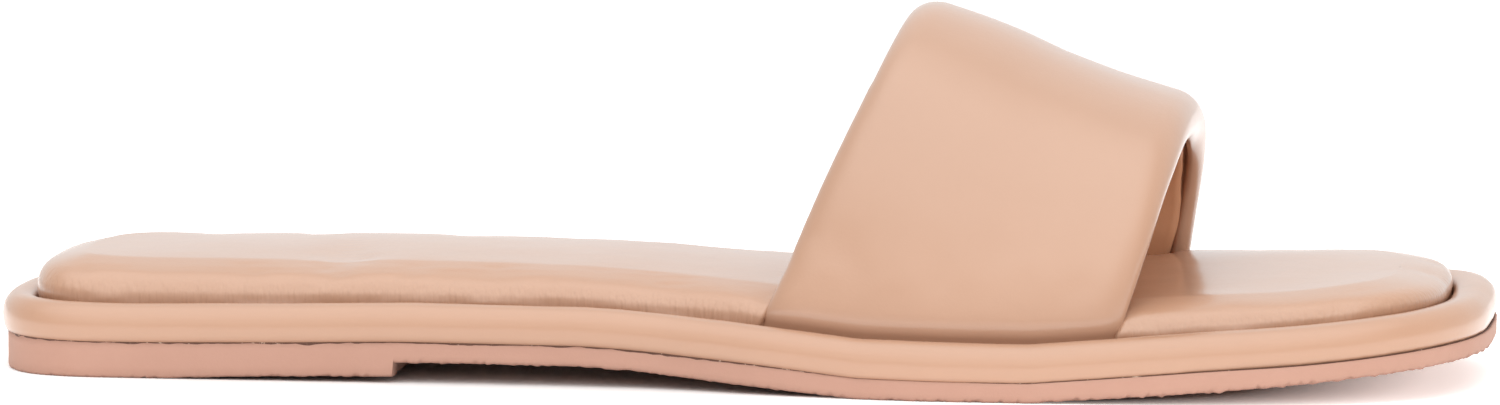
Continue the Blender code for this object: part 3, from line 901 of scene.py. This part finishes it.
def section_rows():
    """The band's section: (place across from 0 to 1, depth under the outer face, painted shade)."""
    width = BAND_FRONT_TOP - BAND_REAR_TOP
    roll, tuck, margin = BAND_ROLL / width, INNER_ROLL / width, TURNED_MARGIN / width
    nose = 0.56 * BAND_WALL
    quarter = [math.radians(angle) for angle in np.linspace(0, 90, 13)]
    edge = [(roll * (1 - math.sin(a)), nose * (1 - math.cos(a)), 0.0) for a in quarter]
    edge += [(tuck * (1 - math.cos(a)), nose + (BAND_WALL - nose) * math.sin(a), 0.0) for a in quarter[2::2]]
    inner = BAND_WALL - LINING_THICKNESS
    # Painted shade in the groove beside the lining's edge and over the hidden inner face.
    edge += [(margin * share, mix(BAND_WALL, inner, ease((share - 0.7) / 0.3)), crease)
             for share, crease in ((0.78, 0.0), (0.86, 0.1), (0.94, 0.6), (1.0, 1.0), (1.5, 1.0))]
    outer = next(k for k, row in enumerate(edge) if row[1] > 0)
    face = [(place, 0.0, 0.0) for place in np.linspace(roll, 1 - roll, 34)[1:-1]]
    front = [(1 - place, depth, crease) for place, depth, crease in edge]
    under = [(place, inner, 1.0) for place in np.linspace(1 - 1.5 * margin, 1.5 * margin, 18)[1:-1]]
    return np.array(edge[outer - 1::-1] + face + front + under + edge[:outer - 1:-1])


def swept_band(name, rows, turns, material, slot, wobble=None):
    """A closed solid swept along the band's arch from rows of (place, depth, painted shade)."""
    across = rows[:, 0]
    points, normals = band_frame(turns, across)
    along = points[..., 0] + LENGTH / 2
    above = points[..., 2] - parting(along) - RIM_HEIGHT
    pressed = mix(FOOT_PRESS, 1.0, ease(above / PRESS_HEIGHT))
    plump = mix(REAR_PLUMP, FRONT_PLUMP, rows[:, 0])
    pressed = pressed * mix(1.0, plump, ease((above - PRESS_HEIGHT) / PLUMP_REACH))
    belly = FOOT_BULGE * ease(above / (2.2 * MM)) * (1 - ease((above - 2 * MM) / (16 * MM)))
    belly = belly * (1 - 0.8 * rows[:, 1] / BAND_WALL)
    if wobble is not None:
        points = points + wobble(turns, rows)
    points = points + normals * (belly - rows[:, 1] * pressed)[..., None]
    feet = points[[0, -1]]
    feet[..., 2] = recess_floor(feet[..., 0] + LENGTH / 2) + GAP
    halfway = mix(feet, points[[0, -1]], 0.5)
    rings = np.concatenate([feet[:1], halfway[:1], points, halfway[1:], feet[1:]])
    size = len(rows)
    faces = tube_faces(len(rings), size)
    last = (len(rings) - 1) * size
    faces += [list(range(size))[::-1], [last + k for k in range(size)]]
    piece = add_piece(name, rings.reshape(-1, 3), faces, material, slot)
    tuck = rings[..., 2] - parting(rings[..., 0] + LENGTH / 2) - RIM_HEIGHT
    # Painted shade from the rows, and darker where the band tucks down behind the rim.
    mark(piece, np.maximum(np.tile(rows[:, 2], len(rings)), (1 - ease(tuck / (1.0 * MM))).ravel()))
    return piece


def make_band():
    """The wide padded band: outer leather rolled over foam and turned in along both edges."""
    turns = np.linspace(0, math.pi, BAND_STATIONS)
    piece = swept_band("band_cover", section_rows(), turns, NAPPA_BAND, "band_leather")
    points = vectors(piece.data.vertices, "co").astype(float)
    normals = vectors(piece.data.vertex_normals, "vector")
    above = ease((points[:, 2] - 12 * MM) / (8 * MM))
    faces = [tuple(face.vertices) for face in piece.data.polygons]
    moves = settle(points, faces, 1 - above, **BAND_CLOTH)
    points += normals * (swell(points, BAND_SWELL) * above)[:, None] + moves * above[:, None]
    piece.data.vertices.foreach_set("co", points.ravel().astype(np.float32))
    piece.data.update()
    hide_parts("upper_band")
    return piece


def make_lining():
    """The lining inside the band, its two long edges lying proud on the turned leather."""
    width = BAND_FRONT_TOP - BAND_REAR_TOP
    start = TURNED_MARGIN / width
    inner = BAND_WALL - LINING_THICKNESS
    edge = LINING_EDGE / width
    # The row at the back of the lining's edge carries a little painted shade.
    outer = [(start, inner + 0.10 * MM, 0.3), (start - 0.3 * edge, inner + 0.4 * MM, 0.0)]
    outer += [(start + 0.2 * edge, BAND_WALL + 0.10 * MM, 0.0), (start + 2.2 * edge, BAND_WALL, 0.0)]
    face = [(place, BAND_WALL, 0.0) for place in np.linspace(start + 4 * edge, 1 - start - 4 * edge, 26)]
    front = [(1 - place, depth, crease) for place, depth, crease in outer]
    back = [(place, inner + 0.10 * MM, 0.0) for place in np.linspace(1 - start - edge, start + edge, 18)]
    rows = np.array(outer + face + front[::-1] + back)
    turns = np.linspace(0, math.pi, BAND_STATIONS)

    def wobble(turns, rows):
        sway = np.array([noise.noise(Vector((t * 4, 0.3, 0.1))) for t in turns]) * 0.9 * MM
        sway += np.array([noise.noise(Vector((t * 11, 4.3, 0.1))) for t in turns]) * 0.15 * MM
        from_edge = np.minimum(rows[:, 0], 1 - rows[:, 0]) - start
        shift = sway[:, None] * (1 - ease(from_edge / 0.15))[None, :]
        return np.stack([shift, shift * 0, shift * 0], axis=-1)

    return swept_band("band_lining", rows[::-1], turns, NAPPA_LINING_PAINTED_LIGHT, "band_leather", wobble)


def make_glue():
    """A thin seam of dried cement between the rim and the outsole."""
    rings = []
    for inset, lift in ((1.3, -1.0), (0.95, -1.0), (0.80, 0.2), (0.95, 1.0), (1.3, 1.0)):
        ring = plan_ring(lambda x: sole_setback(x) * 0.6 + (inset - 0.55) * MM, None, None, GLUE_STATIONS)
        uneven = 1 + 0.7 * wave(np.column_stack([ring, ring[:, 0] * 0]), 4 * MM, 14)

        def height(x):
            heel = 1 - ease((x / LENGTH - 0.45) / 0.25)
            low = mix(0.06, 0.42, heel) * uneven
            high = mix(0.15, 0.28, heel)
            return parting(x) + np.where(lift < 0, low, high) * lift * MM

        rings.append(raised(ring, height))
    points = np.concatenate(rings)
    size = len(rings[0])
    last = (len(rings) - 1) * size
    faces = tube_faces(len(rings), size) + [
        [last + k, last + (k + 1) % size, (k + 1) % size, k] for k in range(size)]
    points[:, :2] *= 1 + 0.0012 * wave(points, 1.5 * MM, 12)[:, None]
    return add_piece("seam_cement", points, faces, CEMENT, "outsole_rubber")


def tread_tree():
    """Geometry Nodes tree: short bars in a herringbone, each laid on the outsole's underside."""
    tree = bpy.data.node_groups.new("tread_bars", "GeometryNodeTree")
    kinds = {
        "Float": ("Length", "Width", "Bar length", "Bar width", "Depth"),
        "Int": ("Rows along", "Rows across"), "Object": ("Sole",), "Material": ("Material",),
    }
    for kind, names in kinds.items():
        for name in names:
            tree.interface.new_socket(name, in_out="INPUT", socket_type="NodeSocket" + kind)
    tree.interface.new_socket("Geometry", in_out="OUTPUT", socket_type="NodeSocketGeometry")
    root = Value(tree)
    given = tree.nodes.new("NodeGroupInput")
    sizes = {socket.name: Value(tree, socket) for socket in given.outputs if socket.name}
    grid = root.node("GeometryNodeMeshGrid", None, {
        "Size X": sizes["Length"], "Size Y": sizes["Width"],
        "Vertices X": sizes["Rows along"], "Vertices Y": sizes["Rows across"]})
    sole = root.node("GeometryNodeObjectInfo", {"transform_space": "RELATIVE"}, {"Object": sizes["Sole"]}, 4)
    ray = tree.nodes.new("GeometryNodeRaycast")
    tree.links.new(sole.socket, ray.inputs["Target Geometry"])
    below = root.node("ShaderNodeVectorMath", {"operation": "ADD"}, {
        0: root.node("GeometryNodeInputPosition"), 1: (0.0, 0.0, -0.02)})
    tree.links.new(below.socket, ray.inputs["Source Position"])
    ray.inputs["Ray Direction"].default_value = (0.0, 0.0, 1.0)
    ray.inputs["Ray Length"].default_value = 0.05
    hit, position = Value(tree, ray.outputs["Is Hit"]), Value(tree, ray.outputs["Hit Position"])
    facing = Value(tree, ray.outputs["Hit Normal"])
    missed = root.node("FunctionNodeBooleanMath", {"operation": "NOT"}, {0: hit})
    held = root.node("GeometryNodeDeleteGeometry", {"domain": "POINT"}, {
        "Geometry": grid, "Selection": missed})
    index = root.node("GeometryNodeInputIndex")
    turn = root.math("MODULO", index, 2.0) * math.radians(2 * BAR_ANGLE) - math.radians(BAR_ANGLE)
    spin = root.node("FunctionNodeEulerToRotation", None, {"Euler": root.node("ShaderNodeCombineXYZ", None, {
        "Z": turn})})
    lean = root.node("FunctionNodeAlignRotationToVector", {"axis": "Z"}, {"Vector": facing})
    spin = root.node("FunctionNodeRotateRotation", {"rotation_space": "LOCAL"}, {
        "Rotation": lean, "Rotate By": spin})
    keep = root.node("GeometryNodeStoreNamedAttribute", {"data_type": "QUATERNION", "domain": "POINT"}, {
        "Geometry": held, "Name": "spin", "Value": spin})
    kept = root.node("GeometryNodeSetPosition", None, {"Geometry": keep, "Position": position})
    spin = root.node("GeometryNodeInputNamedAttribute", {"data_type": "QUATERNION"}, {"Name": "spin"})
    size = root.node("ShaderNodeCombineXYZ", None, {
        "X": sizes["Bar length"], "Y": sizes["Bar width"], "Z": sizes["Depth"] * 2.0})
    bar = root.node("GeometryNodeMeshCube", None, {"Size": size})
    bars = root.node("GeometryNodeInstanceOnPoints", None, {
        "Points": kept, "Instance": bar, "Rotation": spin})
    plain = root.node("GeometryNodeRealizeInstances", None, {"Geometry": bars})
    done = root.node("GeometryNodeSetMaterial", None, {"Geometry": plain, "Material": sizes["Material"]})
    out = tree.nodes.new("NodeGroupOutput")
    tree.links.new(done.socket, out.inputs["Geometry"])
    return tree


def tread_field():
    """The sunk face under the sole that carries the bars, short of the heel block's step."""
    def low(x):
        return tread_height(x) + TREAD_DEPTH

    inset = TREAD_INSET + TREAD_MARGIN
    ring = raised(plan_ring(lambda x: sole_setback(x) + inset), low)
    grid = cap_points(ring, low, 0.0, STATIONS)
    faces = cap_faces(0, len(ring), STATIONS, upward=False)
    points = np.concatenate([ring, grid.reshape(-1, 3)])
    step = HEEL_BLOCK_LENGTH - LENGTH / 2
    faces = [face for face in faces if all(abs(points[k][0] - step) > BREAST_MARGIN for k in face)]
    return new_object("tread_field", new_mesh("tread_field", points, faces))


def from_tree(name, tree, values):
    """A plain mesh object made by evaluating a Geometry Nodes tree with the given inputs."""
    host = new_object(name + "_host", bpy.data.meshes.new(name + "_host"))
    modifier = host.modifiers.new("tree", "NODES")
    modifier.node_group = tree
    for item in tree.interface.items_tree:
        if item.item_type == "SOCKET" and item.in_out == "INPUT" and item.name in values:
            modifier[item.identifier] = values[item.name]
    bpy.context.view_layer.update()
    evaluated = host.evaluated_get(bpy.context.evaluated_depsgraph_get())
    mesh = bpy.data.meshes.new_from_object(evaluated)
    bpy.data.objects.remove(host)
    mesh.name = name
    return new_object(name, mesh)


def make_floor():
    """The pale floor: it glows around the shoe, keeps the shade under it and is darker in front."""
    corners = [(x * FLOOR_REACH, y * FLOOR_REACH, 0) for x, y in ((-1, -1), (1, -1), (1, 1), (-1, 1))]
    mesh = new_mesh("floor", corners, [(0, 1, 2, 3)])
    material, shader, root = new_material("floor_paint", {
        "Roughness": 0.9, "Specular IOR Level": 0.1, "Emission Strength": 1.0})
    place = root.node("ShaderNodeTexCoord", output=3)
    x, y = [root.node("ShaderNodeSeparateXYZ", None, {0: place}, axis) for axis in (0, 1)]
    along = (x + SHADE_BACK) * (1 / SHADE_HALF_LENGTH)
    wide = y * (1 / SHADE_HALF_WIDTH)
    around = along * along * along * along + wide * wide * wide * wide
    # Painted light: the glow reaches in under the toe and lightens the shade there.
    toe = (along * 2.6 - 1.35).limited()
    clear = ((around - 0.5 + toe * 0.38) * 1.5).limited()
    front = ((y + FRONT_START) * -4.0).limited()
    away = root.node("ShaderNodeVectorMath", {"operation": "LENGTH"}, {0: place}, 1)
    far = ((away - FAR_START) * 5.0).limited()
    glow = clear * (1 - front * 0.8) * (1 - far * 0.7)
    feed(shader, {
        "Base Color": colour_mix(FLOOR_PAINT, FRONT_PAINT, front),
        "Emission Color": colour_mix((0.0, 0.0, 0.0), FLOOR_GLOW, glow)}, root)
    mesh.materials.append(material)
    floor = new_object("floor", mesh)


def light_room():
    """A studio that is darker in front, white behind the shoe, with a soft panel above the camera."""
    world = bpy.data.worlds.new("studio")
    world.use_nodes = True
    sky = world.node_tree.nodes["Background"]
    root = Value(world.node_tree)
    toward = root.node("ShaderNodeTexCoord", output=0)
    behind, above = [root.node("ShaderNodeSeparateXYZ", None, {0: toward}, axis) for axis in (1, 2)]
    facing = root.node("ShaderNodeVectorMath", {"operation": "DOT_PRODUCT"}, {0: toward, 1: PANEL_SIDE}, 1)
    panel = ((facing - 0.55) * 3.0).limited()
    front, back, zenith = ROOM
    glow = front + (back - front) * root.math("SMOOTH_MIN", root.math("MAXIMUM", behind + 0.3, 0.0), 1.0)
    glow = glow + (zenith - front) * root.math("MAXIMUM", above, 0.0) ** 2.0
    root.tree.links.new((glow + panel * PANEL).socket, sky.inputs["Color"])
    bpy.context.scene.world = world


def hang_lamps():
    """The soft lights, which the leather doesn't mirror."""
    for name, place, aim, size, power in LAMPS:
        data = bpy.data.lights.new(name, "AREA")
        data.shape = "RECTANGLE"
        data.size, data.size_y = size
        data.energy = power
        lamp = new_object(name, data)
        lamp.visible_glossy = False
        lamp.location = place
        lamp.rotation_euler = (Vector(aim) - Vector(place)).to_track_quat("-Z", "Y").to_euler()


def place_camera():
    """The camera at the photograph's angle, turned round towards the toe and a little up."""
    turn, tilt = math.radians(CAMERA_TURN), math.radians(CAMERA_TILT)
    forward = Vector((-math.sin(turn) * math.cos(tilt), math.cos(turn) * math.cos(tilt), -math.sin(tilt)))
    data = bpy.data.cameras.new("camera")
    data.sensor_width = 36.0
    data.lens = CAMERA_LENS
    data.clip_end = 50.0
    camera = new_object("camera", data)
    camera.location = Vector(CAMERA_TARGET) - forward * CAMERA_DISTANCE
    camera.rotation_euler = forward.to_track_quat("-Z", "Y").to_euler()
    bpy.context.scene.camera = camera


NAPPA_BAND = nappa("nappa_band", (0.525, 0.310, 0.207), (0.485, 0.278, 0.180), 0.80)
NAPPA_FOOTBED = nappa("nappa_footbed", (0.520, 0.302, 0.196), (0.480, 0.268, 0.168), 0.80)
NAPPA_RIM = nappa("nappa_rim", (0.520, 0.302, 0.198), (0.480, 0.268, 0.170), 0.60)
# Painted light: the lining's colour is lighter than the outer leather, standing in for light that doesn't
# reach inside the band.
NAPPA_LINING_PAINTED_LIGHT = nappa("nappa_lining", (0.74, 0.395, 0.225), (0.66, 0.34, 0.185))
RUBBER = rubber("rubber_outsole", (0.52, 0.298, 0.225), (0.46, 0.252, 0.185))
CEMENT = glue("dried_cement")

bpy.context.scene.view_settings.view_transform = "Standard"
make_floor()
light_room()
hang_lamps()
place_camera()

make_footbed()
make_platform()
make_outsole()
make_band()
make_lining()
make_glue()

FIELD = tread_field()
BARS = from_tree("tread_bars", tread_tree(), {
    "Length": LENGTH, "Width": BALL_WIDTH, "Bar length": BAR_LENGTH, "Bar width": BAR_WIDTH,
    "Depth": TREAD_DEPTH * 0.98, "Rows along": BARS_ALONG, "Rows across": BARS_ACROSS,
    "Sole": FIELD, "Material": RUBBER})
bpy.data.objects.remove(FIELD)
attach(BARS, "root")
